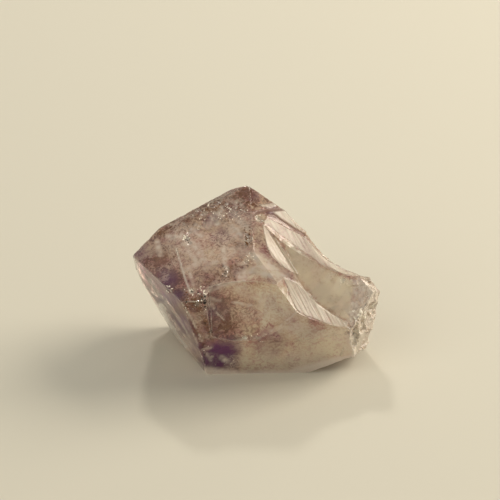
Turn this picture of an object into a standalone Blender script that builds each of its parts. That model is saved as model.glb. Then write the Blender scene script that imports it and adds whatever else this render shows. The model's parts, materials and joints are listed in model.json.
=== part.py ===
"""Amethyst point broken from its geode: one faceted solid, 40 mm long, lying on its side.

The left end keeps the crystal's own pointed faces. The right end is conchoidal fracture: flat
cleaves, then hollows and ledges struck out of the block. Lengths below are in millimetres.
"""

import math
import random

import bmesh
import bpy
from mathutils import Euler, Vector

MM = 0.001
CLEAN_CUT = 1e-7


def at(x, y, z):
    """A point of the stone, from millimetres."""
    return Vector((x, y, z)) * MM


BLOCK_SIZE = 90 * MM
HEART = at(-0.4, -1.6, 11)

# Corners of the crystal's own faces, at the left
APEX = at(-11.0, -12.7, 16.9)
LEFT_TIP = at(-19.8, -1.5, 17.5)
RIDGE_LEFT = at(-15.4, 2.5, 20.5)
PEAK = at(-1.4, 9.4, 25.1)
LOW_CORNER = at(-12.2, -12.8, 16.0)
FOOT = at(-8.9, -8.5, 1.4)
SEAM_LOW = at(-10.7, -11.2, 17.5)
SEAM_TOP = at(-13.9, 1.2, 20.3)

# Corners of the front and of the faces round the peak
FRONT_LEFT = at(-5.1, -8.9, 0)
FRONT_RIGHT = at(7.0, -8.5, 0)
BROW = at(6.3, -11.9, 13.6)
FLAP_LEFT = at(-8.5, -10.2, 18.0)
ELBOW = at(-0.2, -5.9, 20.7)
FLAP_RIGHT = at(0.7, -9.6, 18.8)
SHOULDER_TOP = at(-0.7, 1.4, 22.8)
SHOULDER_RIGHT = at(1.1, -0.2, 21.8)
CROWN = at(-0.6, 10.9, 24.9)
CROWN_LOW = at(0.2, 3.0, 23.5)
CROWN_RIGHT = at(4.5, 8.1, 22.1)
RIM_TOP = at(-8.6, 8.4, 22.5)
LEFT_RIM = at(-18.6, 0.9, 18.4)

# Flat cuts, each through three points, that leave the block round the heart of the stone
CLEAVES = {
    "upper face": (APEX, RIDGE_LEFT, PEAK),
    "upper left face": (SEAM_LOW, SEAM_TOP, LEFT_TIP),
    "left face": (LOW_CORNER, LEFT_TIP, FOOT),
    "front face": (FRONT_LEFT, FRONT_RIGHT, BROW),
    "flap": (FLAP_LEFT, ELBOW, FLAP_RIGHT),
    "shoulder": (SHOULDER_TOP, ELBOW, SHOULDER_RIGHT),
    "crown": (CROWN, CROWN_LOW, CROWN_RIGHT),
    "rear bevel": (RIDGE_LEFT, PEAK, RIM_TOP),
    "left bevel": (LEFT_TIP, RIDGE_LEFT, LEFT_RIM),
    "end face": (at(15.0, -10.6, 9.8), at(15.0, -10.2, 5.2), at(19.8, -3.7, 11.7)),
    "end bevel": (at(18.0, -2.0, 14.3), at(19.9, -3.1, 11.9), at(19.2, 2.3, 10.8)),
    "end back": (at(19.9, -3.5, 11.6), at(17.8, -7.6, 4.7), at(18.9, -0.8, 5.5)),
    "right keel": (at(9.1, -7.7, 0), at(16.3, -9.2, 3.8), at(10.4, -0.9, -2.6)),
    "left overhang": (at(-18.2, -0.1, 10.7), at(-13.8, -4.0, 3.6), at(-15.0, 2.6, 3.4)),
    "left keel": (at(-13.8, -4.0, 3.6), at(-9.4, -7.8, 0.6), at(-10.3, 0, -1.2)),
    "pale rim": (at(-17.6, -0.6, 10.6), at(-9.7, -7.1, 1.3), at(-15.3, 3.1, 2.2)),
    "tip underside": (LEFT_TIP, at(-18.2, -0.1, 10.7), at(-19.7, 2.3, 12.9)),
    "back wall": (at(4.4, 6.8, 22.6), at(10.3, 3.8, 15.8), at(18.3, 0.5, 12.8)),
    "back left": (at(-15.4, 4.6, 19.9), at(-1.4, 11.4, 25.0), at(-9.6, 15.7, 14.1)),
    "back right": (at(-1.4, 11.4, 25.0), at(4.7, 8.3, 21.6), at(2.1, 14.0, 15.1)),
    "back end": (at(-18.6, 1.3, 18.4), at(-15.4, 4.6, 19.9), at(-16.3, 10.2, 8.6)),
}

# Hollows: three points of the rim and the radius of the ball that fits them
SADDLE = (at(4.4, 6.8, 22.6), at(6.9, -0.8, 18.8), at(18.3, 0.5, 12.8), 20.3)
SADDLE_END = (at(12.1, 2.8, 14.5), at(18.3, 0.5, 12.8), at(14.2, -2.6, 15.2), 13)
UPPER_FEATHER = (at(1.1, 1.2, 22.2), at(2.2, -4.2, 20.4), at(6.3, -8.0, 18.2), 20)
LOWER_FEATHER = (at(4.1, -9.2, 18.5), BROW, at(14.9, -10.7, 9.9), 20)
WINDOW = (at(-7.1, -11.1, 8.5), at(-1.2, -10.7, 7.6), BROW, 16.5)
DEEP_HOLLOW = (at(1.4, 1.4, 22.1), at(13.1, -2.2, 15.1), at(13.8, -8.6, 9.9), 30)
BACK_HOLLOW = (at(-12, 6, 3), at(8, 9, 4), at(-3, 12, 17), 34)

# Steps where a hollow stops short, as planes whose far side is struck away
SADDLE_STEP = (at(0.7, 2.1, 22.6), at(4.4, 6.8, 22.6), at(2.1, 6.4, 20.0))
UPPER_STEP = (at(1.1, 7.1, 19.2), at(6.7, 2.7, 11.6), at(6.1, -11.1, 19.7))
LOWER_STEP = (at(3.7, 2.9, 11.9), at(14.8, -1.0, 5.1), at(14.0, -14.9, 13.1))

# A stop is the same, but it is the side towards the heart that is struck away
WINDOW_STOP = (at(-8.2, -13.0, 17.4), at(-7.2, -10.5, 7.7), at(-6.7, -7.5, 10.0))

BALL_SEGMENTS = 96

# Angular chips that roughen the broken right end and the rear ridge
CHIP_SEED = 11
CHIP_SETS = {
    "end face": (10, (0.1, 1.0), (0.15, 0.95)),
    "end bevel": (5, (0.0, 0.9), (-0.3, 0.4)),
    "rear bevel": (6, (0.1, 0.7), (-0.12, 0.12)),
}
CHIP_RADIUS = (1.3, 2.6)
CHIP_DEPTH = (0.3, 0.7)

CRYSTAL_COLOUR = (0.42, 0.33, 0.38, 1)
CRYSTAL_ROUGHNESS = 0.12
CRYSTAL_IOR = 1.544
CRYSTAL_TRANSMISSION = 0.85


def clear_scene():
    for obj in list(bpy.data.objects):
        bpy.data.objects.remove(obj, do_unlink=True)


def new_collection(name):
    collection = bpy.data.collections.new(name)
    bpy.context.scene.collection.children.link(collection)
    return collection


def normal_from_heart(a, b, c):
    """Unit normal of the plane through a, b and c that points away from the heart."""
    normal = (b - a).cross(c - a).normalized()
    if normal.dot(HEART - a) > 0:
        normal = -normal
    return normal


def cleave(bm, point, normal):
    """Strike off what lies beyond the plane and close the cut with one face."""
    cut = bmesh.ops.bisect_plane(
        bm,
        geom=bm.verts[:] + bm.edges[:] + bm.faces[:],
        dist=CLEAN_CUT,
        plane_co=point,
        plane_no=normal,
        clear_outer=True,
    )
    rim = [part for part in cut["geom_cut"] if isinstance(part, bmesh.types.BMEdge)]
    bmesh.ops.edgeloop_fill(bm, edges=rim)


def new_object(name, bm, collection):
    bmesh.ops.recalc_face_normals(bm, faces=bm.faces[:])
    mesh = bpy.data.meshes.new(name)
    bm.to_mesh(mesh)
    bm.free()
    obj = bpy.data.objects.new(name, mesh)
    collection.objects.link(obj)
    return obj


def cloven_block(collection):
    """The block with every flat face, standing on its resting face at z = 0."""
    bm = bmesh.new()
    bmesh.ops.create_cube(bm, size=BLOCK_SIZE)
    bmesh.ops.translate(bm, verts=bm.verts, vec=HEART)
    cleave(bm, at(0, 0, 0), Vector((0, 0, -1)))
    for a, b, c in CLEAVES.values():
        cleave(bm, a, normal_from_heart(a, b, c))
    return new_object("amethyst_point", bm, collection)


def ball_centre(a, b, c, radius):
    """Centre of the ball through a, b and c that lies outside the stone."""
    ab = b - a
    ac = c - a
    normal = ab.cross(ac)
    to_middle = normal.cross(ab) * ac.length_squared + ac.cross(normal) * ab.length_squared
    middle = a + to_middle / (2 * normal.length_squared)
    rise = math.sqrt(radius ** 2 - (middle - a).length_squared)
    return middle + normal_from_heart(a, b, c) * rise


def strike(stone, name, cutter_mesh, cutters):
    """Take the cutter's shape out of the stone."""
    cutter = new_object(name, cutter_mesh, cutters)
    cutter.hide_render = True
    cutter.display_type = "WIRE"
    cut = stone.modifiers.new(name, "BOOLEAN")
    cut.operation = "DIFFERENCE"
    cut.solver = "EXACT"
    cut.object = cutter


def hollow(stone, name, rim, cutters, steps=(), stops=()):
    """A shell-shaped hollow through three rim points, cut short by any steps or stops."""
    a, b, c, radius = rim
    bm = bmesh.new()
    bmesh.ops.create_uvsphere(
        bm,
        u_segments=BALL_SEGMENTS,
        v_segments=BALL_SEGMENTS // 2,
        radius=radius * MM,
    )
    bmesh.ops.translate(bm, verts=bm.verts, vec=ball_centre(a, b, c, radius * MM))
    for p, q, r in steps:
        cleave(bm, p, -normal_from_heart(p, q, r))
    for p, q, r in stops:
        cleave(bm, p, normal_from_heart(p, q, r))
    strike(stone, name, bm, cutters)


def chip(stone, name, place, outward, dice, cutters):
    """A small angular chip: a turned icosahedron that dips into the face at one place."""
    radius = dice.uniform(*CHIP_RADIUS) * MM
    depth = dice.uniform(*CHIP_DEPTH) * MM
    turn = Euler([dice.uniform(0, math.tau) for _ in range(3)])
    bm = bmesh.new()
    bmesh.ops.create_icosphere(bm, subdivisions=1, radius=radius)
    bmesh.ops.rotate(bm, verts=bm.verts, matrix=turn.to_matrix())
    bmesh.ops.translate(bm, verts=bm.verts, vec=place + outward * (radius - depth))
    strike(stone, name, bm, cutters)


def on_cleave(name, along, across):
    """A point inside a flat face, from shares along two of its sides, and the face's normal."""
    a, b, c = CLEAVES[name]
    return a + (b - a) * along + (c - a) * across, normal_from_heart(a, b, c)


def crystal_material():
    material = bpy.data.materials.new("amethyst")
    material.use_nodes = True
    shader = material.node_tree.nodes["Principled BSDF"]
    shader.inputs["Base Color"].default_value = CRYSTAL_COLOUR
    shader.inputs["Metallic"].default_value = 0
    shader.inputs["Roughness"].default_value = CRYSTAL_ROUGHNESS
    shader.inputs["IOR"].default_value = CRYSTAL_IOR
    shader.inputs["Transmission Weight"].default_value = CRYSTAL_TRANSMISSION
    return material


def settle(stone):
    """Make the cuts final and move the origin under the middle of the stone's box."""
    evaluated = stone.evaluated_get(bpy.context.evaluated_depsgraph_get())
    mesh = bpy.data.meshes.new_from_object(evaluated)
    stone.modifiers.clear()
    stone.data = mesh
    low = [min(v.co[axis] for v in mesh.vertices) for axis in range(3)]
    high = [max(v.co[axis] for v in mesh.vertices) for axis in range(3)]
    middle = Vector(((low[0] + high[0]) / 2, (low[1] + high[1]) / 2, low[2]))
    for vertex in mesh.vertices:
        vertex.co -= middle


def main():
    clear_scene()
    parts = new_collection("amethyst point")
    cutters = new_collection("cutters")
    stone = cloven_block(parts)
    hollow(stone, "saddle", SADDLE, cutters, [SADDLE_STEP])
    hollow(stone, "saddle end", SADDLE_END, cutters)
    hollow(stone, "upper feather", UPPER_FEATHER, cutters)
    hollow(stone, "lower feather", LOWER_FEATHER, cutters)
    hollow(stone, "deep hollow", DEEP_HOLLOW, cutters, [UPPER_STEP, LOWER_STEP])
    hollow(stone, "window", WINDOW, cutters, stops=[WINDOW_STOP])
    hollow(stone, "back hollow", BACK_HOLLOW, cutters)
    dice = random.Random(CHIP_SEED)
    for face, (count, along, across) in CHIP_SETS.items():
        for number in range(count):
            place, outward = on_cleave(face, dice.uniform(*along), dice.uniform(*across))
            chip(stone, f"chip {face} {number}", place, outward, dice, cutters)
    stone.data.materials.append(crystal_material())
    settle(stone)


main()
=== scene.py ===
# %% [markdown]
# An amethyst point: one broken piece of violet quartz, about 40 mm long, lying on a flat
# broken face. This script gives it the look of real stone. It starts from the packed
# solid, which already has every large face and hollow, and adds what a thumb would feel
# and an eye would see: growth waves, ripples of the fracture, chips, grains and haze.

# %% Load the frame
import json
import math
import random

import bmesh
import bpy
import numpy as np
from mathutils import Euler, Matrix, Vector, noise
from mathutils.bvhtree import BVHTree
from mathutils.kdtree import KDTree

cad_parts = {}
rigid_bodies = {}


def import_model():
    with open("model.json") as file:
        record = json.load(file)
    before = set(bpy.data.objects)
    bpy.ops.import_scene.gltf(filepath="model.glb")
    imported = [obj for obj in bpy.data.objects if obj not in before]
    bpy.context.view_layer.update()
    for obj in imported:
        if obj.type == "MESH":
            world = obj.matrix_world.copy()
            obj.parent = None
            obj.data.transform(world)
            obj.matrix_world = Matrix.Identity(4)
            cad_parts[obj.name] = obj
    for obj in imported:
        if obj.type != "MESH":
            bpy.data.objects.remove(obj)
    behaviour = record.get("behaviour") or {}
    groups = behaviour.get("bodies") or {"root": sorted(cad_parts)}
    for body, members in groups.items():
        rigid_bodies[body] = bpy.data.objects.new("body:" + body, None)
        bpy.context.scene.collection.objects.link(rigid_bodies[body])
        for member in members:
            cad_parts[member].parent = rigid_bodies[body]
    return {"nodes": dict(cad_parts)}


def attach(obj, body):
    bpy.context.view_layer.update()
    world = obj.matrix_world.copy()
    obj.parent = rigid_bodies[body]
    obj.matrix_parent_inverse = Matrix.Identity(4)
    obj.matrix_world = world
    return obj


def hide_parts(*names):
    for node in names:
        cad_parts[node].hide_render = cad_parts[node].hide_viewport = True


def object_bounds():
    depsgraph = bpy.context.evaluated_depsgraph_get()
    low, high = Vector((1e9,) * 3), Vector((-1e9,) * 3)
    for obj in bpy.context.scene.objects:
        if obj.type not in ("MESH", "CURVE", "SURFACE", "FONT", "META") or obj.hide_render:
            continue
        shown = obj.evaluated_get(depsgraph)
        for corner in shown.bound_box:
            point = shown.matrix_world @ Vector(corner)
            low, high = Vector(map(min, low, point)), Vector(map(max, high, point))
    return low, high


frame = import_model()
CAD_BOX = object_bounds()
print("solid box, mm:", [[round(1000 * c, 2) for c in corner] for corner in CAD_BOX])

# %% [markdown]
# Lengths are written in millimetres and turned to metres in one place, and colours are
# written as sRGB hex and turned to linear in one place, so that every number below can be
# read as a person would measure it on the stone.

# %% Units and colours
MM = 0.001
PIECE = "amethyst_point"


def colour(hex_code):
    """Turn an sRGB hex colour into the linear values that shaders use."""
    parts = [int(hex_code[i:i + 2], 16) / 255 for i in (0, 2, 4)]
    linear = [c / 12.92 if c <= 0.04045 else ((c + 0.055) / 1.055) ** 2.4 for c in parts]
    return (*linear, 1.0)


# %% [markdown]
# The camera stands as the photographer did: half a metre off, looking down at 30 degrees,
# straight at the long side. A long lens keeps the faces nearly free of perspective. The
# distance and lens were found by laying the solid's edges over the photograph.

# %% Camera
VIEW_RISE = 30.0
VIEW_DISTANCE = 450
VIEW_TARGET = Vector((-1.10, 1.95, 17.49))
LENS_MM = 198.8
SENSOR_MM = 36.0
PICTURE = 500

tilt = math.radians(VIEW_RISE)
TO_CAMERA = Vector((0, -math.cos(tilt), math.sin(tilt)))
PICTURE_UP = Vector((0, math.sin(tilt), math.cos(tilt)))
PICTURE_RIGHT = Vector((1, 0, 0))
CAMERA_AT = VIEW_TARGET + TO_CAMERA * VIEW_DISTANCE

camera_data = bpy.data.cameras.new("camera")
camera_data.lens = LENS_MM
camera_data.sensor_width = SENSOR_MM
camera_data.clip_start = 0.01
camera = bpy.data.objects.new("camera", camera_data)
camera.location = CAMERA_AT * MM
camera.rotation_euler = (math.pi / 2 - tilt, 0, 0)
bpy.context.collection.objects.link(camera)
bpy.context.scene.camera = camera
print("camera at, mm:", [round(c, 1) for c in CAMERA_AT])

# %% [markdown]
# One large soft light stands at the right, a little behind, where the pale bands of the
# hollows mirror it. A small one stands behind, off the mirror line of the upper face, so
# that only pits and bruises glint in it, and a weak one stands low behind the right end. A
# broad light from the front left and a pale world keep the shaded faces open. Size matters
# more than power: glassy stone shows the light's shape.

# %% Lights and world
KEY_FROM = Vector((0.80, 0.32, 0.52))
KEY_DISTANCE = 0.70
KEY_SIZE = 0.46
KEY_WATTS = 5.0
GLINT_FROM = Vector((-0.10, 0.72, 0.66))
GLINT_DISTANCE = 0.80
GLINT_SIZE = 0.08
GLINT_WATTS = 1.4
FILL_FROM = Vector((-0.62, -0.55, 0.75))
FILL_DISTANCE = 0.9
FILL_SIZE = 0.7
FILL_WATTS = 2.0
LOW_FROM = Vector((0.50, 0.86, 0.12))
LOW_DISTANCE = 0.70
LOW_SIZE = 0.16
LOW_WATTS = 0.5
WARM_WHITE = "FFF3E2"
WORLD_COLOUR = "E2DFD4"
WORLD_STRENGTH = 0.42


def soft_light(name, direction, distance, size, watts, tone):
    """A square area light that faces the stone."""
    data = bpy.data.lights.new(name, "AREA")
    data.shape = "SQUARE"
    data.size = size
    data.energy = watts
    data.color = colour(tone)[:3]
    light = bpy.data.objects.new(name, data)
    light.location = VIEW_TARGET * MM + direction.normalized() * distance
    light.rotation_euler = direction.to_track_quat("Z", "Y").to_euler()
    bpy.context.collection.objects.link(light)
    print(name, "watts:", watts)


soft_light("key_light", KEY_FROM, KEY_DISTANCE, KEY_SIZE, KEY_WATTS, WARM_WHITE)
soft_light("glint_light", GLINT_FROM, GLINT_DISTANCE, GLINT_SIZE, GLINT_WATTS, "FFF8EE")
soft_light("fill_light", FILL_FROM, FILL_DISTANCE, FILL_SIZE, FILL_WATTS, "FFF7EA")
soft_light("low_light", LOW_FROM, LOW_DISTANCE, LOW_SIZE, LOW_WATTS, WARM_WHITE)

world = bpy.data.worlds.new("soft_room")
bpy.context.scene.world = world
world.use_nodes = True
backdrop = world.node_tree.nodes["Background"]
backdrop.inputs["Color"].default_value = colour(WORLD_COLOUR)
backdrop.inputs["Strength"].default_value = WORLD_STRENGTH

# %% [markdown]
# Light enters a clear stone and bounces about inside before it comes out, so it is given
# more bounces than an opaque thing needs. The plain Standard view keeps colours as chosen.

# %% Light paths and tone
LIGHT_BOUNCES = 16
bpy.context.scene.view_settings.view_transform = "Standard"
bpy.context.scene.cycles.max_bounces = LIGHT_BOUNCES
bpy.context.scene.cycles.transmission_bounces = LIGHT_BOUNCES

# %% [markdown]
# Every material is a small graph of nodes. One function adds a node, sets its values and
# joins its inputs, so that a graph below reads as a list of what feeds what.

# %% Node helper


def add(tree, kind, inputs=None, out=0, **settings):
    """Add a shader node, fill its inputs with values or sockets, and return one output."""
    node = tree.nodes.new("ShaderNode" + kind)
    for key, value in settings.items():
        setattr(node, key, value)
    for key, value in (inputs or {}).items():
        if isinstance(value, bpy.types.NodeSocket):
            tree.links.new(value, node.inputs[key])
        else:
            node.inputs[key].default_value = value
    return None if out is None else node.outputs[out]


def new_material(name):
    """An empty material, and its node tree."""
    material = bpy.data.materials.new(name)
    material.use_nodes = True
    material.node_tree.nodes.clear()
    return material, material.node_tree


# %% [markdown]
# The floor is a plain pale card, so nothing draws the eye from the stone. It is staging,
# not part of the object.

# %% Floor
FLOOR_SIDE = 1.6
FLOOR_COLOUR = "D2CFC1"
FLOOR_ROUGHNESS = 0.85

floor_mesh = bpy.data.meshes.new("floor")
card = bmesh.new()
bmesh.ops.create_grid(card, x_segments=1, y_segments=1, size=FLOOR_SIDE / 2)
card.to_mesh(floor_mesh)
card.free()
floor = bpy.data.objects.new("floor", floor_mesh)
bpy.context.collection.objects.link(floor)
paper, tree = new_material("matte_paper")
matte = add(tree, "BsdfPrincipled", {"Base Color": colour(FLOOR_COLOUR),
                                     "Roughness": FLOOR_ROUGHNESS})
add(tree, "OutputMaterial", {"Surface": matte}, None)
floor_mesh.materials.append(paper)
print("floor side, m:", FLOOR_SIDE)

# %% [markdown]
# The skin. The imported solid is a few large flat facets, too coarse to hold a chip or a
# ripple. A copy of it is merged, then the Remesh modifier lays an even net of small quads
# over it. Its Sharp mode keeps the crystal's edges crisp, where Voxel would round them.

# %% A fine even skin over the solid
SKIN_DEPTH = 8
SKIN_SCALE = 0.72
WELD = 0.0005


def merged_copy(source, name):
    """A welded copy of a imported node, as an object of its own at the origin."""
    mesh = source.data.copy()
    mesh.transform(source.matrix_world)
    shape = bmesh.new()
    shape.from_mesh(mesh)
    bmesh.ops.remove_doubles(shape, verts=shape.verts, dist=WELD * MM)
    shape.to_mesh(mesh)
    shape.free()
    mesh.materials.clear()
    copy = bpy.data.objects.new(name, mesh)
    bpy.context.collection.objects.link(copy)
    return copy


def baked(piece, name):
    """The piece's mesh with its modifiers made final."""
    depsgraph = bpy.context.evaluated_depsgraph_get()
    mesh = bpy.data.meshes.new_from_object(piece.evaluated_get(depsgraph))
    mesh.name = name
    piece.modifiers.clear()
    piece.data = mesh
    return mesh


stone = merged_copy(frame["nodes"][PIECE], "crystal")
remesh = stone.modifiers.new("even_skin", "REMESH")
remesh.mode = "SHARP"
remesh.octree_depth = SKIN_DEPTH
remesh.scale = SKIN_SCALE
remesh.use_remove_disconnected = False
skin = baked(stone, "crystal")
print("skin corners:", len(skin.vertices))

# %% [markdown]
# Numpy holds the skin's corners while they are moved: their places in mm and the way each
# one faces. The tree finds where a ray meets the skin.

# %% Read the skin
places = np.empty(3 * len(skin.vertices))
skin.vertices.foreach_get("co", places)
places = places.reshape(-1, 3) / MM
facing = np.empty(3 * len(skin.vertices))
skin.vertex_normals.foreach_get("vector", facing)
facing = facing.reshape(-1, 3)
tree_of_skin = BVHTree.FromPolygons([p for p in places], [f.vertices[:] for f in skin.polygons])

# %% [markdown]
# A mark that is seen in the picture has to land on the stone where it belongs. The same
# sums that a camera does turn a place in millimetres into a pixel, and a ray from a corner
# towards the camera tells whether other stone hides it.

# %% Where the corners fall in the picture
SCALE_PX = LENS_MM / SENSOR_MM * PICTURE
offset = places - np.array(CAMERA_AT)
depth = -(offset @ np.array(TO_CAMERA))
pixel = np.stack([
    PICTURE / 2 + SCALE_PX * (offset @ np.array(PICTURE_RIGHT)) / depth,
    PICTURE / 2 - SCALE_PX * (offset @ np.array(PICTURE_UP)) / depth,
], axis=1)

CLEAR_OF_SKIN = 0.08
TURNED_AWAY = -0.2
seen = np.zeros(len(places))
for i in np.nonzero(facing @ np.array(TO_CAMERA) > TURNED_AWAY)[0]:
    start = Vector(places[i] + facing[i] * CLEAR_OF_SKIN)
    seen[i] = tree_of_skin.ray_cast(start, TO_CAMERA)[0] is None
print("corners in view:", int(seen.sum()))


def surface_at(px, py):
    """The point of the skin behind a pixel of the picture, in mm, and its direction."""
    aim = (PICTURE_RIGHT * (px - PICTURE / 2) + PICTURE_UP * (PICTURE / 2 - py)
           - TO_CAMERA * SCALE_PX)
    place, normal = tree_of_skin.ray_cast(CAMERA_AT, aim.normalized())[:2]
    return (place, normal) if place else (None, None)


# %% [markdown]
# Soft masks pick out where a detail goes. A face is picked by the way it looks: the mask
# fades out at the edges, which keeps the edges where the solid has them. Patches and
# strokes are drawn in the picture, and fall only on what the camera sees.

# %% Masks over the skin


def smooth_rise(value, low, high):
    """0 below low, 1 above high, and a smooth step between."""
    t = np.clip((value - low) / (high - low), 0, 1)
    return t * t * (3 - 2 * t)


def face_share(direction, low=0.90, high=0.985):
    """How far each corner lies on the face that looks in this direction."""
    direction = np.array(direction) / np.linalg.norm(direction)
    return smooth_rise(facing @ direction, low, high)


def lumps(size, seed, stretch=(1, 1, 1)):
    """Smooth noise over the skin, about -1 to 1, with lumps of the given size in mm."""
    shift = Vector((seed * 7.3, seed * 3.1, seed * 5.7))
    scaled = places / (size * np.array(stretch))
    return np.array([noise.noise(Vector(p) + shift) for p in scaled])


def to_line(points):
    """Distance in pixels from each corner to a line through points of the picture."""
    best = np.full(len(places), np.inf)
    for a, b in zip(points[:-1], points[1:]):
        a, b = np.array(a, float), np.array(b, float)
        share = np.clip(((pixel - a) @ (b - a)) / ((b - a) @ (b - a)), 0, 1)
        best = np.minimum(best, np.linalg.norm(pixel - a - share[:, None] * (b - a), axis=1))
    return best


def patch(outline, soft=1.5):
    """1 inside an outline of the picture, fading over soft pixels at its edge."""
    inside = np.zeros(len(places), bool)
    for (ax, ay), (bx, by) in zip(outline, outline[1:] + outline[:1]):
        if ay == by:
            continue
        crosses = (ay > pixel[:, 1]) != (by > pixel[:, 1])
        reach = ax + (pixel[:, 1] - ay) * (bx - ax) / (by - ay)
        inside ^= crosses & (pixel[:, 0] < reach)
    edge = to_line(outline + outline[:1]) * np.where(inside, 1, -1)
    return smooth_rise(edge, -soft, soft) * seen


def stroke(points, width):
    """A soft brush stroke of the given width in pixels along a line of the picture."""
    return (1 - smooth_rise(to_line(points), 0.2 * width, width)) * seen


# %% [markdown]
# Growth waves. The crystal's own faces grew in thin layers, so they are never quite flat:
# they roll by a tenth of a millimetre or less over a few millimetres. The flat fracture
# faces get the same treatment, weaker, because glassy stone tears in slow curves.

# %% Growth waves on the natural faces
UPPER = (-0.17, -0.27, 0.95)
UPPER_LEFT = (-0.29, -0.29, 0.91)
LEFT = (-0.79, -0.52, -0.32)
FRONT = (0.04, -0.97, -0.24)
END = (0.83, -0.56, -0.06)
GROWTH_SIZE = 3.4
GROWTH_DEPTH = 0.06

sink = np.zeros(len(places))
growth = lumps(GROWTH_SIZE, 1, (1.6, 1.0, 1.0)) + 0.35 * lumps(GROWTH_SIZE / 3, 2)
for way in (UPPER, UPPER_LEFT, LEFT):
    sink += face_share(way) * GROWTH_DEPTH * growth
sink += face_share(FRONT) * 0.5 * GROWTH_DEPTH * growth
print("deepest growth wave, mm:", round(float(np.abs(sink).max()), 3))

# %% [markdown]
# Ripples of the break. A blow sends a wave through glassy stone, and the broken face
# keeps it as low rings round the place that was struck. A sine of the distance from that
# place makes them. Each hollow has its struck place and outline in the picture, then the
# rings' spacing and height in mm.

# %% Rings in the hollows
RING_SOFT = 4
RINGS = {
    "window": ((205, 300), [(205, 290), (240, 281), (283, 280), (297, 311), (262, 330),
                            (213, 340)], 1.3, 0.035),
    "deep hollow": ((262, 222), [(272, 232), (318, 262), (352, 280), (350, 322), (318, 302),
                                 (288, 254)], 1.9, 0.045),
}
for name, (struck, outline, spacing, height) in RINGS.items():
    centre = np.array(surface_at(*struck)[0])
    away = np.linalg.norm(places - centre, axis=1) + 0.5 * lumps(4.0, 4)
    rings = np.sin(2 * np.pi * away / spacing)
    sink += patch(outline, RING_SOFT) * height * rings
    print(name, "rings from", [round(c, 1) for c in centre])

# %% [markdown]
# The back isn't in the picture. It is one broken face of the same glassy stone, so it
# gets the same low rings, from a struck place near its top, and the growth waves.

# %% Rings on the back
BACK_STRUCK = (4.0, 11.0, 22.0)
BACK_SPACING = 2.6
BACK_HEIGHT = 0.05
back = smooth_rise(facing[:, 1] - 1.5 * seen, 0.15, 0.55)
away = np.linalg.norm(places - np.array(BACK_STRUCK), axis=1) + 0.9 * lumps(5.0, 8)
sink += back * (BACK_HEIGHT * np.sin(2 * np.pi * away / BACK_SPACING) + GROWTH_DEPTH * growth)
print("corners on the back:", int((back > 0.5).sum()))

# %% [markdown]
# Two creases cut the crown, where the break jumped from one layer to the next. Each is a
# shallow groove, drawn as a line in the picture with a width in pixels and a depth in mm.
# The colour darkens along the grooves too: that is painted shade in the creases.

# %% Creases of the crown, with painted shade
CREASES = [([(266, 214), (276, 216), (289, 225), (304, 235)], 2.0, 0.07),
           ([(256, 213), (266, 210), (284, 209)], 3.0, 0.05)]
crease_and_painted_shade = np.zeros(len(places))
for line, width, deep in CREASES:
    mark = stroke(line, width)
    sink += deep * mark
    crease_and_painted_shade = np.maximum(crease_and_painted_shade, mark)
print("creased corners:", int((crease_and_painted_shade > 0.5).sum()))

# %% [markdown]
# The broken end. Where the stone tore off, the end crumbled into small flat splinters at
# all slants. Points are scattered through the end, and all the skin nearest to one point
# takes that point's slant, which makes it one flat splinter. There are two sizes of them.

# %% Broken end
END_CELL = 3.4
END_TILT = 0.26
FINE_CELL = END_CELL / 2.2
FINE_TILT = 0.55 * END_TILT
END_SINK = 0.12
END_FROM_X = 9.5
END_FADE_X = (11.5, 15.0)
END_TURN = (0.35, 0.8)
END_OUTLINE = [(350, 279), (366, 274), (384, 290), (380, 325), (366, 352), (352, 356),
               (344, 338), (348, 320), (346, 308), (352, 296)]


def splinters(size, tilt_share, seed):
    """Small flat facets at random slants, in mm of height."""
    dice = random.Random(seed)
    low, high = (np.array(corner) / MM for corner in CAD_BOX)
    low[0] = END_FROM_X
    count = int(np.prod(high - low) / size ** 3)
    cells = KDTree(count)
    slants = []
    for index in range(count):
        cells.insert([dice.uniform(*span) for span in zip(low, high)], index)
        slants.append(Vector([dice.uniform(-1, 1) for _ in range(3)]))
    cells.balance()
    height = np.zeros(len(places))
    for i in np.nonzero(places[:, 0] > END_FROM_X)[0]:
        centre, index, _ = cells.find(places[i])
        height[i] = slants[index].dot(Vector(places[i]) - centre) * tilt_share
    return height


end_share = np.maximum(face_share(END, *END_TURN) * smooth_rise(places[:, 0], *END_FADE_X),
                       0.8 * patch(END_OUTLINE, soft=4))
sink += end_share * (END_SINK + splinters(END_CELL, END_TILT, 3)
                     + splinters(FINE_CELL, FINE_TILT, 5))
print("corners on the broken end:", int((end_share > 0.5).sum()))

# %% [markdown]
# Worn edges. Real edges are never knife sharp: they carry a line of tiny bites. An edge
# is found where neighbouring faces of the skin disagree, and noise bites into it. Round
# the fresh hollows the edges stay nearly clean.

# %% Edge wear
CHIP_SIZE = 0.9
CHIP_DEPTH = 0.16
EDGE_BEND = (0.012, 0.07)

face_normals = np.empty(3 * len(skin.polygons))
skin.polygon_normals.foreach_get("vector", face_normals)
face_normals = face_normals.reshape(-1, 3)
sharpness = np.zeros(len(places))
for face in skin.polygons:
    for corner in face.vertices:
        bend = 1 - float(face_normals[face.index] @ facing[corner])
        sharpness[corner] = max(sharpness[corner], bend)
CLEAN_BREAKS = [(256, 205), (300, 218), (372, 272), (352, 330), (300, 324), (262, 300),
                (256, 240)]
clean = patch(CLEAN_BREAKS, soft=6)
edge = smooth_rise(sharpness, *EDGE_BEND)
bites = np.clip(lumps(CHIP_SIZE, 6) + 0.5 * lumps(CHIP_SIZE / 2.5, 7), 0, 1)
bites *= 1 - 0.8 * clean
sink += edge * CHIP_DEPTH * bites
print("edge corners:", int((edge > 0.5).sum()))

# %% [markdown]
# Pits and bruises. Small pits mark the upper face, mostly along the back ridge and round
# the pointed corner, where the stone knocked against its neighbours. A pit is a pixel of
# the picture, then a radius and a depth in mm.

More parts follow.
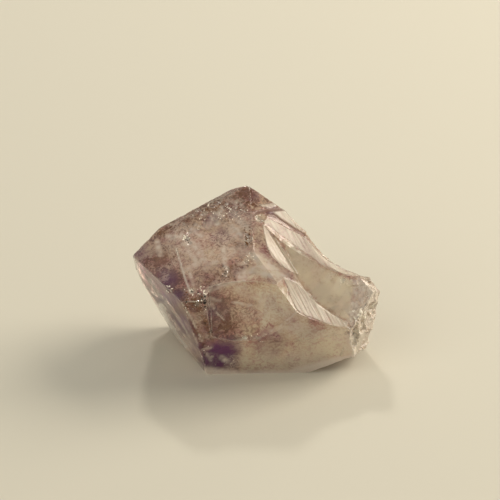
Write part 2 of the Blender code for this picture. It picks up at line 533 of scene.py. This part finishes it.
# %% Pits
PITS = [(172, 238, 0.5, 0.25), (187, 239, 0.7, 0.35), (190, 243, 0.4, 0.3), (225, 274, 0.5, 0.3),
        (228, 270, 0.4, 0.25), (192, 291, 0.6, 0.4), (204, 298, 0.6, 0.4), (198, 304, 0.5, 0.35),
        (170, 291, 0.5, 0.3), (247, 236, 0.6, 0.3), (246, 262, 0.5, 0.2), (251, 254, 0.5, 0.25),
        (245, 338, 0.6, 0.35), (259, 339, 0.5, 0.3), (213, 338, 0.35, 0.3), (259, 219, 0.8, 0.35),
        (344, 280, 0.5, 0.25), (212, 357, 0.4, 0.2), (223, 361, 0.4, 0.2)]
RIDGE_PITS = 26
RIDGE_LINE = ((176, 222), (246, 190))
RIDGE_SPREAD = 16
RIDGE_BELOW = 4
RIDGE_CROWDING = 0.6
RIDGE_RADIUS = (0.25, 0.6)
RIDGE_DEEP = (0.1, 0.3)

dice = random.Random(21)
pits = list(PITS)
(ridge_x, ridge_y), (peak_x, peak_y) = RIDGE_LINE
for _ in range(RIDGE_PITS):
    share = dice.random() ** RIDGE_CROWDING
    px = ridge_x + share * (peak_x - ridge_x)
    py = ridge_y + share * (peak_y - ridge_y)
    pits.append((px, py + RIDGE_BELOW + dice.random() * RIDGE_SPREAD,
                 dice.uniform(*RIDGE_RADIUS), dice.uniform(*RIDGE_DEEP)))
pit_share = np.zeros(len(places))
for px, py, radius, deep in pits:
    centre = surface_at(px, py)[0]
    if centre is None:
        continue
    away = np.linalg.norm(places - np.array(centre), axis=1) / radius
    away = away * (1 + 0.5 * noise.noise(Vector((px, py, 0))))
    hole = 1 - smooth_rise(away, 0.25, 1.0)
    sink += deep * hole
    pit_share = np.maximum(pit_share, hole)
print("pits:", len(pits))

# %% [markdown]
# A hairline seam runs down the upper face to the pointed corner, where two growths of the
# crystal meet. It is a very shallow groove, a quarter of a millimetre wide.

# %% Seam
SEAM = [(176, 248), (180, 262), (185, 278), (190, 292)]
SEAM_WIDTH = 1.5
SEAM_DEPTH = 0.05
seam = stroke(SEAM, SEAM_WIDTH)
sink += SEAM_DEPTH * seam
print("seam corners:", int((seam > 0.5).sum()))

# %% [markdown]
# All the depths are now summed, so each corner moves once, inwards along its normal. The
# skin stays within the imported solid's box, and the face that it rests on isn't moved. The
# grains that come later are laid on the moved skin, so they need its new tree.

# %% Move the skin
settled = places - facing * sink[:, None]
low, high = (np.array(corner) / MM for corner in CAD_BOX)
settled = np.clip(settled, low, high)
RESTING = 0.05
resting = places[:, 2] < RESTING
settled[resting] = places[resting]
skin.vertices.foreach_set("co", (settled * MM).ravel())
skin.update()
tree_of_skin = BVHTree.FromPolygons([p for p in settled], [f.vertices[:] for f in skin.polygons])
print("skin sinks by up to, mm:", round(float(sink.max()), 2))

# %% [markdown]
# What the eye reads as colour in quartz is mostly where it changes. So each change gets a
# value on the skin's corners, which the material breaks up with finer noise. The marks
# follow the picture on the side it shows, and go on by noise and height round the back.
# The first is hackle: where the break ran fast it tore the stone into fine combed ridges,
# which look like pale satin. Their pale colour is also a painted sheen, standing for the key
# light that these bands mirror. Each band of it is an outline in the picture.

# %% Satin hackle, with its painted sheen
HACKLE = {
    "saddle band": [(262, 221), (270, 219), (278, 223), (290, 230), (302, 235), (312, 245),
                    (322, 256), (330, 262), (345, 269), (366, 275), (366, 277), (350, 275),
                    (335, 272), (325, 268), (318, 262), (310, 255), (300, 249), (288, 240),
                    (276, 231), (266, 224)],
    "upper feather": [(262, 224), (265, 235), (267, 247), (272, 257), (280, 265), (290, 271),
                      (299, 275), (293, 265), (288, 254), (280, 244), (272, 235), (264, 226)],
    "lower feather": [(283, 277), (287, 285), (290, 295), (297, 310), (305, 315), (318, 320),
                      (330, 325), (347, 328), (348, 322), (330, 313), (318, 304), (308, 293),
                      (298, 283)],
    "crown facet": [(272, 212), (284, 209), (291, 218), (303, 232), (294, 228), (280, 219)],
    "crown streak": [(260, 205), (272, 203), (281, 204), (272, 207), (262, 207)],
}
HACKLE_SOFT = 0.8
hackle_and_painted_sheen = np.zeros(len(places))
for outline in HACKLE.values():
    hackle_and_painted_sheen = np.maximum(hackle_and_painted_sheen, patch(outline, HACKLE_SOFT))
print("hackle corners:", int((hackle_and_painted_sheen > 0.5).sum()))

# %% [markdown]
# Milky haze and veils. Old cracks that healed again hold films of tiny bubbles, which
# look like clouds and white threads. The clouds come from noise, and each veil is a stroke
# in the picture with a width in pixels and a strength. Three of the strokes, along the bottom
# edge, down the left rim and below the tip, are a painted highlight for the light that those
# thin edges catch, not veils.

# %% Milky haze
HAZE_CLOUDS = 0.5
HAZE_UPPER = 0.1
HAZE_END = 0.95
HAZE_HOLLOW = 0.3
haze = HAZE_CLOUDS * smooth_rise(lumps(5.5, 11) + 0.5 * lumps(2.0, 12), -0.05, 0.5)
haze += HAZE_UPPER * face_share(UPPER)
haze = np.maximum(haze, HAZE_END * end_share)
haze = np.maximum(haze, HAZE_HOLLOW * patch(RINGS["deep hollow"][1], soft=6))
print("hazy corners:", int((haze > 0.3).sum()))

# %% Veils, and the painted rim highlight
VEIL_WIDTH = 1.4
VEIL_LUMP = 0.8
VEIL_LEAST = 0.4
VEIL_AND_RIM_HIGHLIGHT_STROKES = [([(168, 236), (180, 238)], 3, 1.0), ([(182, 236), (190, 242), (198, 247)], 3, 1.0),
         ([(184, 243), (190, 252), (196, 261)], 3, 0.8), ([(193, 246), (203, 258)], 3, 0.8),
         ([(198, 244), (206, 262)], 2, 0.7), ([(157, 242), (160, 254)], 3, 0.9),
         ([(192, 230), (203, 236)], 3, 0.8), ([(208, 226), (214, 214)], 3, 0.8),
         ([(218, 222), (222, 212)], 4, 0.8), ([(236, 216), (246, 228)], 4, 0.7),
         ([(234, 230), (246, 240)], 6, 0.9), ([(223, 248), (226, 268)], 3, 0.9),
         ([(226, 252), (244, 252)], 6, 0.6), ([(190, 274), (193, 284)], 2, 1.0),
         ([(184, 270), (200, 262)], 3, 0.7), ([(205, 268), (216, 262)], 3, 0.6),
         ([(205, 292), (222, 286), (244, 282)], 2, 0.9), ([(236, 283), (244, 281)], 2, 1.0),
         ([(255, 255), (268, 266), (281, 276)], 7, 0.9), ([(240, 276), (262, 268)], 5, 0.9),
         ([(262, 272), (281, 277)], 4, 1.0), ([(240, 288), (262, 298)], 7, 0.5),
         ([(236, 303), (252, 306)], 2, 0.6), ([(150, 280), (156, 292)], 3, 0.7),
         ([(152, 292), (162, 297)], 2, 0.9), ([(172, 322), (190, 345)], 3, 0.7),
         ([(204, 294), (214, 308)], 2, 0.6), ([(210, 298), (220, 301)], 2, 0.6),
         # painted highlight along the bottom edge
         ([(206, 370), (245, 374), (290, 372), (331, 361), (356, 355)], 4, 0.7),
         ([(222, 358), (227, 361)], 3, 0.8), ([(203, 350), (211, 347)], 2, 0.5),
         ([(205, 352), (211, 360)], 2, 0.5), ([(262, 332), (300, 326)], 3, 0.5),
         ([(169, 304), (183, 326)], 1.5, 0.7), ([(176, 314), (190, 338)], 1.5, 0.6),
         ([(185, 322), (198, 345)], 1.5, 0.5), ([(164, 298), (172, 308)], 1.5, 0.6),
         # painted highlight down the left rim
         ([(163, 306), (170, 325), (177, 338), (186, 352)], 4, 1.0),
         # painted highlight along the edge below the tip
         ([(135, 262), (138, 276), (148, 292)], 3, 0.5)]
veil_and_rim_highlight = np.zeros(len(places))
for line, width, strength in VEIL_AND_RIM_HIGHLIGHT_STROKES:
    veil_and_rim_highlight = np.maximum(veil_and_rim_highlight, strength * stroke(line, VEIL_WIDTH * width))
veil_and_rim_highlight *= VEIL_LEAST + (1 - VEIL_LEAST) * smooth_rise(lumps(VEIL_LUMP, 13), -0.3, 0.3)
print("veiled corners:", int((veil_and_rim_highlight > 0.3).sum()))

# %% [markdown]
# Violet zones. The violet lies in soft clouds near the natural faces and fades towards the
# broken end. Round spots place the clouds that the picture shows, each with a radius in
# pixels and a strength, and slow noise goes on from there.

# %% Violet zones
VIOLET = [((167, 279), 17, 1.0), ((178, 298), 14, 0.9), ((221, 357), 27, 1.3),
          ((212, 362), 22, 1.3), ((232, 347), 16, 0.9), ((164, 300), 16, 0.9),
          ((184, 326), 20, 1.0), ((194, 346), 14, 0.9), ((212, 312), 13, 0.7),
          ((212, 220), 12, 0.6), ((222, 236), 16, 0.6), ((235, 212), 12, 0.6),
          ((272, 211), 9, 0.7), ((252, 196), 12, 0.5), ((180, 325), 17, 0.7),
          ((270, 345), 26, 0.45), ((240, 270), 13, 0.4), ((258, 240), 9, 0.3),
          ((290, 278), 8, 0.3)]
VIOLET_CLOUD = 7.0
towards_point = smooth_rise(-places[:, 0] - 0.6 * places[:, 2], -6, 8)
clouds = smooth_rise(lumps(VIOLET_CLOUD, 15), 0.0, 0.6)
violet = 0.35 * towards_point + (0.3 + 0.3 * back) * clouds + 0.12 * back
for (px, py), radius, strength in VIOLET:
    away = np.linalg.norm(pixel - np.array((px, py)), axis=1)
    violet = np.maximum(violet, strength * (1 - smooth_rise(away, 0.2 * radius, radius)) * seen)
print("violet corners:", int((violet > 0.5).sum()))

# %% [markdown]
# Rust. Iron-bearing water left brown films in the cracks and along the back ridge, as
# strokes in the picture with a width in pixels and a strength.

# %% Rust and olive stain
RUST = [([(182, 303), (204, 344)], 6, 0.7), ([(197, 300), (213, 340)], 4, 1.0),
        ([(185, 300), (206, 300)], 8, 0.8), ([(160, 230), (210, 206), (248, 194)], 11, 1.0),
        ([(220, 205), (250, 205)], 12, 0.9), ([(245, 228), (248, 244)], 6, 1.0),
        ([(148, 262), (172, 258)], 9, 0.7), ([(205, 283), (230, 268), (246, 262)], 4, 0.7),
        ([(215, 330), (232, 322)], 12, 0.7), ([(218, 240), (228, 262)], 4, 0.5),
        ([(234, 240), (242, 262)], 5, 0.5), ([(252, 222), (253, 244)], 3, 0.6)]
rust = 0.3 * smooth_rise(lumps(4.0, 18) + 0.4 * lumps(1.3, 19), 0.15, 0.6)
for line, width, strength in RUST:
    rust = np.maximum(rust, strength * stroke(line, width))
print("rusty corners:", int((rust > 0.5).sum()))

# %% [markdown]
# Darker and paler places. Slow noise gives the stone its own uneven tone. The patches, drawn
# in the picture, are partly the stone's darker and paler tone and partly painted shade and
# painted light: painted shade on the overhanging left face, the back bevel of the ridge and
# the upper face, and painted light in the deep hollow and over the right of the front. One
# value holds both: above 0 is darker, below is paler.

# %% Darker and paler places, with painted shade and painted light
DARK_TONE_AND_PAINTED_SHADE = [([(150, 242), (229, 197), (252, 214), (254, 262), (206, 284), (160, 292)], 6, 0.3),
                ([(182, 303), (205, 292), (230, 298), (236, 332), (213, 340)], 5, 0.9),
                ([(140, 262), (172, 258), (184, 282), (188, 300), (160, 300)], 6, 0.8),
                ([(203, 345), (226, 342), (242, 350), (232, 360), (238, 370), (204, 368)], 8, 1.0),
                ([(137, 262), (182, 303), (204, 345), (204, 370), (188, 350), (165, 312),
                  (146, 288)], 2, 1.6),
                ([(196, 212), (246, 190), (252, 214), (228, 222), (205, 224)], 6, 0.6),
                ([(206, 284), (228, 268), (250, 264), (236, 281), (206, 291)], 2, 0.6),
                ([(262, 214), (270, 212), (284, 220), (303, 235), (290, 230), (272, 219)], 1, 0.35),
                ([(256, 210), (268, 207), (284, 207), (272, 212), (262, 214)], 1, 0.3),
                ([(254, 188), (270, 196), (282, 206), (270, 205), (258, 208), (250, 200)], 4, 0.6),
                ([(150, 240), (165, 226), (191, 214), (229, 193), (249, 185), (252, 190),
                  (229, 199), (191, 220), (167, 231), (152, 244)], 2, 0.9),
                ([(240, 340), (300, 338), (300, 352), (240, 355)], 6, 0.15),
                ([(322, 268), (352, 277), (345, 286), (325, 276)], 4, 0.6),
                ([(262, 228), (275, 238), (300, 256), (315, 268), (300, 270), (280, 246)], 3, 0.4)]
PALE_TONE_AND_PAINTED_LIGHT = [([(285, 240), (318, 264), (352, 282), (350, 322), (318, 302), (290, 262)], 4, 1.7),
                 ([(256, 290), (285, 284), (297, 311), (262, 328)], 5, 0.9),
                 ([(290, 322), (345, 330), (350, 352), (300, 366)], 6, 1.0),
                 ([(240, 344), (300, 344), (300, 366), (240, 366)], 6, 0.6),
                 ([(250, 252), (264, 254), (283, 276), (262, 278)], 4, 0.8),
                 ([(240, 356), (300, 354), (330, 358), (300, 372), (240, 374)], 3, 0.7)]
SHADE_EVENED = 0.6
shade = 0.5 * lumps(5.0, 22) + 0.3 * lumps(1.8, 23)
for sign, patches in ((1, DARK_TONE_AND_PAINTED_SHADE), (-1, PALE_TONE_AND_PAINTED_LIGHT)):
    for outline, soft, strength in patches:
        share = patch(outline, soft)
        shade = shade * (1 - SHADE_EVENED * share) + sign * strength * share
print("shade from", round(float(shade.min()), 2), "to", round(float(shade.max()), 2))

# %% [markdown]
# Edge lines. A worn edge is full of bruises, so it shows as a thin white line. The lines
# that stand out in the picture are drawn, and every other edge gets a weaker one.

# %% Edge lines
EDGE_LINES = [[(236, 340), (262, 336), (280, 326), (297, 312)],
              [(208, 288), (222, 284), (246, 281)], [(182, 303), (192, 320), (205, 346)],
              [(206, 302), (224, 320)], [(232, 302), (252, 305)]]
EDGE_LINE_WIDTH = 1.4
lines = np.zeros(len(places))
for line in EDGE_LINES:
    lines = np.maximum(lines, stroke(line, EDGE_LINE_WIDTH))
lines *= smooth_rise(lumps(0.8, 27), -0.35, 0.25)
worn = edge * (0.35 + bites) * (1 - 0.7 * clean) + 0.9 * seam + 0.8 * lines
worn = np.clip(worn + 0.6 * pit_share + 0.5 * end_share, 0, 1)
print("worn corners:", int((worn > 0.5).sum()))

# %% [markdown]
# Frost and the painted rim highlight. The lower band of the front was rubbed to a satin. The
# thin edges along the ground and the left catch light from inside, and that light is painted
# on them as a pale highlight.

# %% Frost and the painted rim highlight
FROST_OUTLINE = [(206, 352), (240, 343), (300, 340), (345, 336), (356, 356), (320, 370),
                 (250, 378), (204, 374)]
RIM_HIGHLIGHT_STROKES = [([(160, 305), (167, 320), (175, 334), (186, 348)], 4.0, 1.0),
       ([(188, 350), (198, 364), (206, 371)], 3, 0.3),
       ([(206, 372), (245, 376), (290, 374), (331, 363), (357, 357)], 6, 1.0),
       ([(133, 256), (136, 272), (146, 290)], 3, 0.4)]
frost = patch(FROST_OUTLINE, soft=6)
painted_rim_highlight = np.zeros(len(places))
for line, width, strength in RIM_HIGHLIGHT_STROKES:
    painted_rim_highlight = np.maximum(painted_rim_highlight, strength * stroke(line, width))
print("frosted corners:", int((frost > 0.5).sum()), "rim corners:", int((painted_rim_highlight > 0.5).sum()))

# %% [markdown]
# Crushed places. Where a blow landed, the quartz is full of tiny cracks that scatter light,
# so it looks white like crushed ice instead of clear. The whole broken end is like that,
# and so are the bruises at the pointed corner, along the upper face and on the left rim.
# A spot has a radius in pixels. Noise gives the places a ragged edge.

# %% Crushed places
CRUSHED = [((196, 299), 11), ((187, 237), 4), ((247, 235), 5), ((258, 218), 5), ((250, 257), 4),
           ((245, 338), 5), ((259, 338), 4), ((225, 361), 3), ((169, 289), 3), ((358, 314), 12),
           ((343, 281), 4), ((192, 291), 5), ((201, 290), 5), ((354, 333), 5)]
LEFT_RIM = [(161, 306), (168, 321), (176, 334), (185, 346)]
crushed = end_share.copy()
for (px, py), radius in CRUSHED:
    away = np.linalg.norm(pixel - np.array((px, py)), axis=1) / radius
    crushed = np.maximum(crushed, np.clip(1.3 - away, 0, 1) * seen)
crushed = np.maximum(crushed, 1.2 * stroke(LEFT_RIM, 4))
crushed += 0.4 * lumps(0.9, 29) + 0.5 * end_share * lumps(2.6, 33)
CRUSHED_FROM = 0.72
crushed_faces = [i for i, face in enumerate(skin.polygons)
                 if crushed[list(face.vertices)].mean() > CRUSHED_FROM]
print("crushed faces:", len(crushed_faces))

# %% [markdown]
# Each value becomes a named attribute of the skin, which an Attribute node can read. The
# back has only a quarter of the brown stain, because it is a cleaner break.

# %% Store the values on the skin
BACK_CLEANER = 0.75
marks = {"hackle_and_painted_sheen": hackle_and_painted_sheen, "haze": haze, "veil_and_rim_highlight": veil_and_rim_highlight, "violet": violet, "rust": rust,
         "shade": shade, "worn": worn, "crease_and_painted_shade": crease_and_painted_shade, "frost": frost, "painted_rim_highlight": painted_rim_highlight,
         "stained": 1 - BACK_CLEANER * back}
for name, values in marks.items():
    layer = skin.attributes.new(name, "FLOAT", "POINT")
    layer.data.foreach_set("value", values.astype(np.float32))
    print(name, "mean", round(float(values.mean()), 3))

# %% [markdown]
# The stone itself is quartz, silicon dioxide with a trace of iron that gives the violet.
# It grew from water, so its own faces are as glossy as glass, and its index is 1.544. It
# is see-through, but clouded by fine healed cracks, so about half of the light goes
# through and the rest scatters. Patterns read the place in mm, so a scale of 1.3 means
# lumps of about three quarters of a millimetre. Hackle reads two slanted directions
# instead, short across its ridges and long along them.

# %% Places for the patterns
STONE_IOR = 1.544
ACROSS = Vector((0.88, 0.25, 0.40))
ALONG = Vector((0.40, 0.10, -0.91))
HACKLE_PITCH = 0.40
HACKLE_RUN = 5.0

amethyst, tree = new_material("amethyst_broken_quartz")
in_mm = add(tree, "Mapping", {"Vector": add(tree, "TexCoord", out="Object"),
                              "Scale": (1 / MM,) * 3})
across = add(tree, "VectorMath", {0: in_mm, 1: ACROSS}, "Value", operation="DOT_PRODUCT")
along = add(tree, "VectorMath", {0: in_mm, 1: ALONG}, "Value", operation="DOT_PRODUCT")
ridge_line = add(tree, "CombineXYZ", {
    "X": add(tree, "Math", {0: across, 1: HACKLE_PITCH}, operation="DIVIDE"),
    "Y": add(tree, "Math", {0: along, 1: HACKLE_RUN}, operation="DIVIDE")})

# %% [markdown]
# Five noises cover every size of mark: broad clouds of colour, finer mottling, feathery
# films, the ridges of the hackle, and specks. One attribute node brings in each value.

# %% Patterns, from broad clouds to fine specks
cloud = add(tree, "TexNoise", {"Vector": in_mm, "Scale": 0.35, "Detail": 5, "Distortion": 0.8})
mottle = add(tree, "TexNoise", {"Vector": in_mm, "Scale": 1.3, "Detail": 6, "Roughness": 0.62,
                                "Distortion": 1.4})
feather = add(tree, "TexNoise", {"Vector": in_mm, "Scale": 0.85, "Detail": 7,
                                 "Roughness": 0.62, "Distortion": 3.0})
ridges = add(tree, "TexNoise", {"Vector": ridge_line, "Scale": 1, "Detail": 2})
speck = add(tree, "TexNoise", {"Vector": in_mm, "Scale": 4.5, "Detail": 2})
stored = {name: add(tree, "Attribute", out="Fac", attribute_name=name) for name in marks}
print("values read:", len(stored))

# %% [markdown]
# A value painted on the skin has soft, even edges, and nothing on a stone does. So a noise
# breaks up each layer: below the first number of the noise only the least share of the
# layer shows, and above the second all of it.

# %% How much of each layer shows
shares = {}
for layer, pattern, low, high, least in (
        ("haze", feather, 0.44, 0.56, 0.15), ("violet", cloud, 0.30, 0.60, 0.65),
        ("veil_and_rim_highlight", mottle, 0.38, 0.50, 0.40), ("rust", mottle, 0.44, 0.58, 0.25),
        ("hackle_and_painted_sheen", ridges, 0.36, 0.62, 0.35),
        ("worn", speck, 0.35, 0.55, 0.55), ("painted_rim_highlight", mottle, 0.30, 0.50, 0.6),
        ("crease_and_painted_shade", mottle, 0.30, 0.50, 0.8)):
    broken = add(tree, "MapRange", {"Value": pattern, "From Min": low, "From Max": high,
                                    "To Min": least, "To Max": 1.0})
    shares[layer] = add(tree, "Math", {0: stored[layer], 1: broken}, operation="MULTIPLY",
                        use_clamp=True)
mottled = add(tree, "MapRange", {"Value": mottle, "From Min": 0.36, "From Max": 0.64,
                                 "To Min": -0.7, "To Max": 0.7})
shade_now = add(tree, "Math", {0: mottled, 1: stored["stained"], 2: stored["shade"]},
                operation="MULTIPLY_ADD")
# The dark and clear layers carry the stone's uneven tone together with the painted shade and
# painted light of the patches.
for layer, share in (("dark", 0.8), ("clear", -0.8)):
    shares[layer] = add(tree, "Math", {0: shade_now, 1: share}, operation="MULTIPLY",
                        use_clamp=True)
shares["warm"] = add(tree, "MapRange", {"Value": cloud, "From Min": 0.42, "From Max": 0.62})
print("layers:", ", ".join(shares))

# %% [markdown]
# The colour is built as a painter would: the smoky body first, then warm clouds and the
# darker and paler places, which hold both the stone's uneven tone and painted shade and
# painted light, then violet, rust, haze and veils, and the marks of the surface last: the
# hackle's satin with its painted sheen, the painted shade of the creases, worn edges and the
# painted rim highlight, each mixed over what is there.

# %% The layers of colour, from the body outwards
BODY_TONE = "E0C6AA"
LAYERS = {"warm": "C48E82", "dark": "6C4638", "clear": "FFF8DC", "violet": "56205E",
          "rust": "744420", "haze": "FFF0E0", "veil_and_rim_highlight": "FFF4E6", "hackle_and_painted_sheen": "F6EEDC",
          "crease_and_painted_shade": "9A7264", "worn": "FFF8EA", "painted_rim_highlight": "FFF6EC"}
tone = colour(BODY_TONE)
for layer, hex_code in LAYERS.items():
    tone = add(tree, "Mix", {"Factor": shares[layer], 6: tone, 7: colour(hex_code)}, 2,
               data_type="RGBA")
print("mixed over the body:", len(LAYERS))

# %% [markdown]
# A fresh face is polished, and every kind of damage makes it rougher. Relief that is finer
# than the skin, such as the hackle's combed ridges and the grit of worn edges, is a bump.

# %% Roughness and fine relief
POLISH = 0.06
ROUGHER = {"hackle_and_painted_sheen": 0.28, "worn": 0.20, "haze": 0.10, "frost": 0.40, "crease_and_painted_shade": 0.3}
RELIEF = 0.13
GRIT_OF_WORN = 1.2
GRIT_OF_ALL = 0.12
COMBED_DEEP = 1.6

gloss = POLISH
for layer, extra in ROUGHER.items():
    gloss = add(tree, "Math", {0: stored[layer], 1: extra, 2: gloss}, operation="MULTIPLY_ADD")
roughened = add(tree, "Math", {0: stored["worn"], 1: GRIT_OF_WORN, 2: GRIT_OF_ALL},
                operation="MULTIPLY_ADD")
grit = add(tree, "Math", {0: mottle, 1: roughened}, operation="MULTIPLY")
combed = add(tree, "Math", {0: stored["hackle_and_painted_sheen"], 1: COMBED_DEEP}, operation="MULTIPLY")
height = add(tree, "Math", {0: ridges, 1: combed, 2: grit}, operation="MULTIPLY_ADD")
relief = add(tree, "Bump", {"Height": height, "Distance": RELIEF * MM})
print("roughest, before noise:", round(POLISH + sum(ROUGHER.values()), 2))

# %% [markdown]
# Two materials share that graph. Clean quartz passes about half of the light, and crushed
# quartz, which is full of cracks, less than a third. The volume takes more green and blue
# than red out of the light, so a thick part looks pinker than a thin one.

# %% Amethyst, grown and broken faces
CLEAN_PASSES = 0.55
CRUSHED_PASSES = 0.30
INSIDE_COLOUR = "CBB0B4"
INSIDE_DENSITY = 11.0

surface = add(tree, "BsdfPrincipled", {"Base Color": tone, "Roughness": gloss, "Normal": relief,
                                       "IOR": STONE_IOR, "Transmission Weight": CLEAN_PASSES})
inside = add(tree, "VolumeAbsorption", {"Color": colour(INSIDE_COLOUR),
                                        "Density": INSIDE_DENSITY})
add(tree, "OutputMaterial", {"Surface": surface, "Volume": inside}, None)
crushed_quartz = amethyst.copy()
crushed_quartz.name = "quartz_crushed_white"
for node in crushed_quartz.node_tree.nodes:
    if node.type == "BSDF_PRINCIPLED":
        node.inputs["Transmission Weight"].default_value = CRUSHED_PASSES
print("nodes in the graph:", len(tree.nodes))

# %% [markdown]
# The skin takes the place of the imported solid, so both materials go on it, and it rides
# on the same body.

# %% Dress the stone
skin.materials.clear()
skin.materials.append(amethyst)
skin.materials.append(crushed_quartz)
for i in crushed_faces:
    skin.polygons[i].material_index = 1
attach(stone, "root")
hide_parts(PIECE)
print("crystal faces:", len(skin.polygons))

# %% [markdown]
# Grains. Rust and dark soil are lodged in the cracks and along the ridge, and tiny
# splinters of clean quartz sparkle where the stone is bruised. Each is a small sphere of
# twenty faces, squashed and turned, and sunk partly into the skin. All grains of one kind
# are one object, so that the part stays light. A grain near the outline is trimmed to the
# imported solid's box.

# %% Scatter grains over the picture's patches
GRAIN_SUNK = 0.4


def scatter(name, patches, material, seed):
    """Grains of one kind; a patch is two picture corners, a count and a size range in mm."""
    dice = random.Random(seed)
    shape = bmesh.new()
    for (x0, y0), (x1, y1), count, (small, large) in patches:
        for _ in range(count):
            place, normal = surface_at(dice.uniform(x0, x1), dice.uniform(y0, y1))
            if place is None:
                continue
            radius = dice.uniform(small, large) / 2
            turn = Euler([dice.uniform(0, math.tau) for _ in range(3)]).to_matrix()
            grain = bmesh.ops.create_icosphere(shape, subdivisions=1, radius=radius)["verts"]
            squash = (1, dice.uniform(0.5, 1), dice.uniform(0.4, 0.8))
            bmesh.ops.scale(shape, verts=grain, vec=squash)
            bmesh.ops.rotate(shape, verts=grain, matrix=turn)
            bmesh.ops.translate(shape, verts=grain, vec=place - normal * radius * GRAIN_SUNK)
    bmesh.ops.scale(shape, verts=shape.verts, vec=(MM, MM, MM))
    for corner in shape.verts:
        corner.co = np.clip(corner.co, *CAD_BOX)
    mesh = bpy.data.meshes.new(name)
    shape.to_mesh(mesh)
    shape.free()
    mesh.materials.append(material)
    piece = bpy.data.objects.new(name, mesh)
    bpy.context.collection.objects.link(piece)
    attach(piece, "root")
    print(name, "faces:", len(mesh.polygons))


# %% [markdown]
# Three minerals. Limonite is the rust that water leaves in cracks: an earthy brown crust,
# quite dull. Dark clay is soil packed into pits by handling: nearly black and dull. Quartz
# splinters are fresh chips of the stone itself: white and glossy, so they catch the light.

# %% Materials of the grains


def plain(name, tone, shade, roughness, lump_mm):
    """A grain's material: one mineral, its colour broken up by noise."""
    material, tree = new_material(name)
    lumpy = add(tree, "TexNoise", {"Vector": add(tree, "TexCoord", out="Object"),
                                   "Scale": 1 / (lump_mm * MM), "Detail": 3})
    mixed = add(tree, "Mix", {"Factor": lumpy, 6: colour(tone), 7: colour(shade)}, 2,
                data_type="RGBA")
    surface = add(tree, "BsdfPrincipled", {"Base Color": mixed, "Roughness": roughness})
    add(tree, "OutputMaterial", {"Surface": surface}, None)
    print("material:", name)
    return material


rust_crust = plain("limonite_rust", "8A5A2B", "4A2C16", 0.8, 0.2)
dark_soil = plain("dark_clay", "2A1A12", "120B08", 0.7, 0.2)
splinter = plain("quartz_splinter", "FFFCF2", "FFF4E0", 0.22, 0.3)

# %% [markdown]
# Each kind of grain has its own boxes in the picture, where the stone holds most of it.
# The seeds are fixed, so every run lays the same grains.

# %% Lay the grains
scatter("rust_grains", [((184, 292), (208, 312), 34, (0.2, 0.5)),
                        ((196, 312), (212, 338), 14, (0.1, 0.3)),
                        ((186, 206), (248, 222), 40, (0.08, 0.28)),
                        ((244, 227), (250, 245), 30, (0.25, 0.55)),
                        ((234, 240), (237, 258), 8, (0.15, 0.3)),
                        ((214, 240), (230, 262), 12, (0.1, 0.25))], rust_crust, 31)
scatter("dark_grains", [((186, 292), (208, 308), 16, (0.15, 0.5)),
                        ((201, 296), (206, 303), 8, (0.4, 0.7)),
                        ((190, 290), (193, 293), 3, (0.3, 0.5)),
                        ((204, 322), (208, 330), 4, (0.25, 0.45)),
                        ((207, 330), (213, 341), 8, (0.25, 0.5)),
                        ((222, 266), (230, 278), 9, (0.2, 0.45)),
                        ((148, 240), (160, 268), 9, (0.12, 0.3)),
                        ((176, 222), (190, 230), 5, (0.15, 0.35)),
                        ((185, 238), (190, 243), 6, (0.2, 0.4)),
                        ((202, 343), (206, 364), 12, (0.15, 0.4)),
                        ((255, 214), (262, 222), 10, (0.15, 0.4)),
                        ((262, 191), (265, 194), 2, (0.2, 0.4))], dark_soil, 37)
scatter("bright_splinters", [((184, 286), (208, 312), 28, (0.15, 0.5)),
                             ((189, 289), (193, 292), 4, (0.4, 0.6)),
                             ((196, 286), (206, 294), 10, (0.2, 0.5)),
                             ((180, 204), (250, 220), 34, (0.2, 0.5)),
                             ((183, 235), (190, 240), 12, (0.3, 0.6)),
                             ((244, 228), (250, 242), 7, (0.15, 0.35)),
                             ((244, 250), (256, 264), 12, (0.15, 0.45)),
                             ((255, 214), (262, 221), 9, (0.2, 0.45)),
                             ((240, 334), (264, 342), 14, (0.15, 0.45)),
                             ((204, 345), (235, 366), 14, (0.1, 0.35)),
                             ((350, 278), (378, 345), 22, (0.2, 0.5)),
                             ((353, 309), (365, 319), 18, (0.4, 0.9)),
                             ((350, 330), (357, 336), 6, (0.3, 0.7)),
                             ((340, 277), (347, 285), 9, (0.15, 0.4)),
                             ((166, 286), (172, 293), 6, (0.3, 0.6))], splinter, 41)
